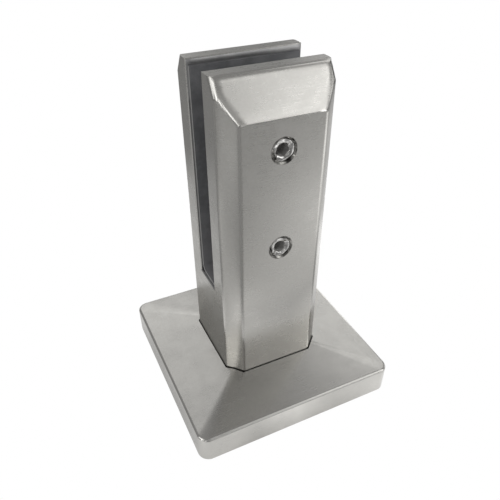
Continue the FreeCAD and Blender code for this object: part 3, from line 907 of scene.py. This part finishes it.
def tap_hole(node_name, piece_name, material):
    """Inner thread of a screw hole, in the grooves of the screw's own thread."""
    low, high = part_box(node_name)
    back = -SLOT_WALL * MM
    centre = Vector((0, 0, (low.z + high.z) / 2))
    bm = bmesh.new()
    middle = low.y - LEAD + (PITCH + CREST) / 2
    half_groove = (PITCH - CREST) / 2
    half_crest = half_groove - (SCREW_RADIUS - HOLE_CREST) * FLANK - THREAD_CLEARANCE
    half_root = half_groove + (HOLE_ROOT - SCREW_RADIUS) * FLANK - THREAD_CLEARANCE
    section = [(HOLE_ROOT, -half_root), (HOLE_CREST, -half_crest),
               (HOLE_CREST, half_crest), (HOLE_ROOT, half_root)]
    points, edges = add_outline(bm, [centre + Vector((r, middle + y, 0)) for r, y in section])
    edges.append(bm.edges.new((points[-1], points[0])))
    turns = math.ceil((back - POST_FRONT) / PITCH) + HOLE_EXTRA_TURNS
    wind(bm, points + edges, centre, turns)
    close_ends(bm)
    piece = new_piece(piece_name, bm, material, "post")
    mouth_radius = BORE_RADIUS + MOUTH_BEVEL[node_name]
    keep_inside(piece, hole_blank(centre, POST_FRONT, back, mouth_radius))
    shade(piece, THREAD_SHARP)


def bevel_edges(bm, edges, offset, segments):
    """Round edges by an offset in a number of steps."""
    bmesh.ops.bevel(bm, geom=edges, offset=offset, offset_type="OFFSET", affect="EDGES",
                    segments=segments, profile=0.5, material=-1, clamp_overlap=True)


def run_along_x(edge):
    """Whether an edge runs along the strip's width."""
    return abs(edge.verts[0].co.x - edge.verts[1].co.x) > MM


def is_at(point, y, z):
    """Whether a point lies at a place in Y and Z."""
    return Vector((0, point.co.y - y, point.co.z - z)).length < MERGE_DISTANCE


def round_corners(bm):
    """Round the cut corners of rubber."""
    sharp = [e for e in bm.edges if e.calc_face_angle(0) > math.radians(CORNER_ANGLE)]
    bevel_edges(bm, sharp, RUBBER_EDGE, RUBBER_EDGE_STEPS)


def cut_liner(material):
    """Rubber strip laid down the slot's rear wall and bent along its floor."""
    low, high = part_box("slot_liner")
    bm = bmesh.new()
    face = high.y - RUBBER_THICKNESS
    seat = low.z + RUBBER_THICKNESS
    section = [(low.y, low.z), (high.y, low.z), (high.y, high.z), (face, high.z), (face, seat),
               (low.y, seat)]
    outline = bm.faces.new([bm.verts.new((low.x, y, z)) for y, z in section])
    made = bmesh.ops.extrude_face_region(bm, geom=[outline])["geom"]
    far_points = [g for g in made if isinstance(g, bmesh.types.BMVert)]
    bmesh.ops.translate(bm, verts=far_points, vec=(high.x - low.x, 0, 0))
    bmesh.ops.recalc_face_normals(bm, faces=bm.faces)
    outer_bend = LINER_BEND + RUBBER_THICKNESS
    for y, z, radius in ((high.y, low.z, outer_bend), (face, seat, LINER_BEND)):
        corner = [e for e in bm.edges if run_along_x(e)
                  and all(is_at(v, y, z) for v in e.verts)]
        bevel_edges(bm, corner, radius, BEND_STEPS)
    round_corners(bm)
    piece = new_piece("liner_strip", bm, material, "post")
    shade(piece, RUBBER_SHARP)
    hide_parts("slot_liner")


def cut_pad(material):
    """Rubber pad bonded to the pressure plate, with round corners."""
    low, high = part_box("clamp_pad")
    bm = bmesh.new()
    bmesh.ops.create_cube(bm, size=1.0)
    bmesh.ops.scale(bm, vec=high - low, verts=bm.verts)
    bmesh.ops.translate(bm, vec=(low + high) / 2, verts=bm.verts)
    through = [e for e in bm.edges if abs(e.verts[0].co.y - e.verts[1].co.y) > 0.5 * MM]
    bevel_edges(bm, through, PAD_CORNER, PAD_CORNER_STEPS)
    round_corners(bm)
    piece = new_piece("pad_strip", bm, material, "clamp")
    shade(piece, RUBBER_SHARP)
    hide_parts("clamp_pad")


def dress(node_name, material):
    """Give a frame node its finished material."""
    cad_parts[node_name].data.materials[0] = material


def aim_camera():
    """Camera at the height and angle from which the post is looked down on."""
    data = bpy.data.cameras.new("camera")
    data.sensor_width = SENSOR_WIDTH
    data.lens = CAMERA_LENS
    data.shift_x, data.shift_y = CAMERA_SHIFT
    data.clip_start = CAMERA_NEAR
    camera = bpy.data.objects.new("camera", data)
    camera.location = Vector(CAMERA_PLACE) * MM
    camera.rotation_euler = (math.radians(CAMERA_TILT), 0, math.radians(CAMERA_TURN))
    bpy.context.scene.collection.objects.link(camera)
    bpy.context.scene.camera = camera


def lay_floor():
    """Large pale floor: white to the camera, dimmer in the steel's reflections."""
    bm = bmesh.new()
    bmesh.ops.create_grid(bm, x_segments=1, y_segments=1, size=FLOOR_REACH)
    mesh = bpy.data.meshes.new("floor")
    bm.to_mesh(mesh)
    bm.free()
    floor = bpy.data.objects.new("floor", mesh)
    bpy.context.scene.collection.objects.link(floor)
    material = bpy.data.materials.new("white_paper")
    material.use_nodes = True
    tree = material.node_tree
    tree.nodes.clear()
    place = add(tree, "ShaderNodeTexCoord").outputs["Object"]
    light = 0.0
    for (x, y), radius, brightness in LIT_PATCHES:
        patch = effect(tree, LIT_PATCH, Position=place, Centre=(x, y, 0.0), Radius=radius)
        light = calc(tree, "MULTIPLY_ADD", patch, brightness, light)
    paper = add(tree, "ShaderNodeBsdfDiffuse", {"Color": PAPER_GREY})
    glow = add(tree, "ShaderNodeEmission", {"Color": WHITE, "Strength": light})
    lit = add(tree, "ShaderNodeAddShader", {0: paper.outputs[0], 1: glow.outputs[0]})
    white = add(tree, "ShaderNodeEmission", {"Color": WHITE, "Strength": 1.0})
    seen = add(tree, "ShaderNodeLightPath").outputs["Is Camera Ray"]
    mixed = add(tree, "ShaderNodeMixShader", {0: seen, 1: lit.outputs[0], 2: white.outputs[0]})
    add(tree, "ShaderNodeOutputMaterial", {"Surface": mixed.outputs[0]})
    mesh.materials.append(material)


def set_surroundings():
    """Even grey room for the reflections, white behind the object."""
    world = bpy.data.worlds.new("studio")
    world.use_nodes = True
    tree = world.node_tree
    tree.nodes.clear()
    room = add(tree, "ShaderNodeBackground", {"Color": WHITE, "Strength": ROOM_LIGHT})
    white = add(tree, "ShaderNodeBackground", {"Color": WHITE, "Strength": 1.0})
    seen = add(tree, "ShaderNodeLightPath").outputs["Is Camera Ray"]
    mixed = add(tree, "ShaderNodeMixShader", {0: seen, 1: room.outputs[0], 2: white.outputs[0]})
    add(tree, "ShaderNodeOutputWorld", {"Surface": mixed.outputs[0]})
    bpy.context.scene.world = world


def hang_softbox(name, bearing, height_angle, width, height, power):
    """Softbox at one metre that faces the object."""
    turn = math.radians(bearing)
    lift = math.radians(height_angle)
    away = Vector((math.sin(turn) * math.cos(lift), -math.cos(turn) * math.cos(lift),
                   math.sin(lift)))
    data = bpy.data.lights.new(name, "AREA")
    data.shape = "RECTANGLE"
    data.size = width
    data.size_y = height
    data.energy = power
    light = bpy.data.objects.new(name, data)
    light.location = AIM + away
    light.rotation_euler = away.to_track_quat("Z", "Y").to_euler()
    bpy.context.scene.collection.objects.link(light)


def set_colour_view():
    """Plain view transform, with no look."""
    view = bpy.context.scene.view_settings
    view.view_transform = "Standard"
    view.look = "None"
    view.exposure = 0.0
    view.gamma = 1.0


def main():
    """Dress the frame's nodes, add the pieces and light them."""
    post_steel = make_post_steel()
    rubber = make_rubber()
    screw_steel = make_screw_steel()
    dress("spigot_body", post_steel)
    dress("base_cover", make_cover_steel())
    dress("clamp_plate", make_plate_steel())
    cut_grub_screw("upper_grub_screw", "upper_set_screw", "upper_screw", screw_steel)
    cut_grub_screw("lower_grub_screw", "lower_set_screw", "lower_screw", screw_steel)
    tap_hole("upper_grub_screw", "upper_hole_thread", post_steel)
    tap_hole("lower_grub_screw", "lower_hole_thread", post_steel)
    cut_liner(rubber)
    cut_pad(rubber)

    aim_camera()
    lay_floor()
    set_surroundings()
    for name, settings in SOFTBOXES.items():
        hang_softbox(name, *settings)
    set_colour_view()


main()
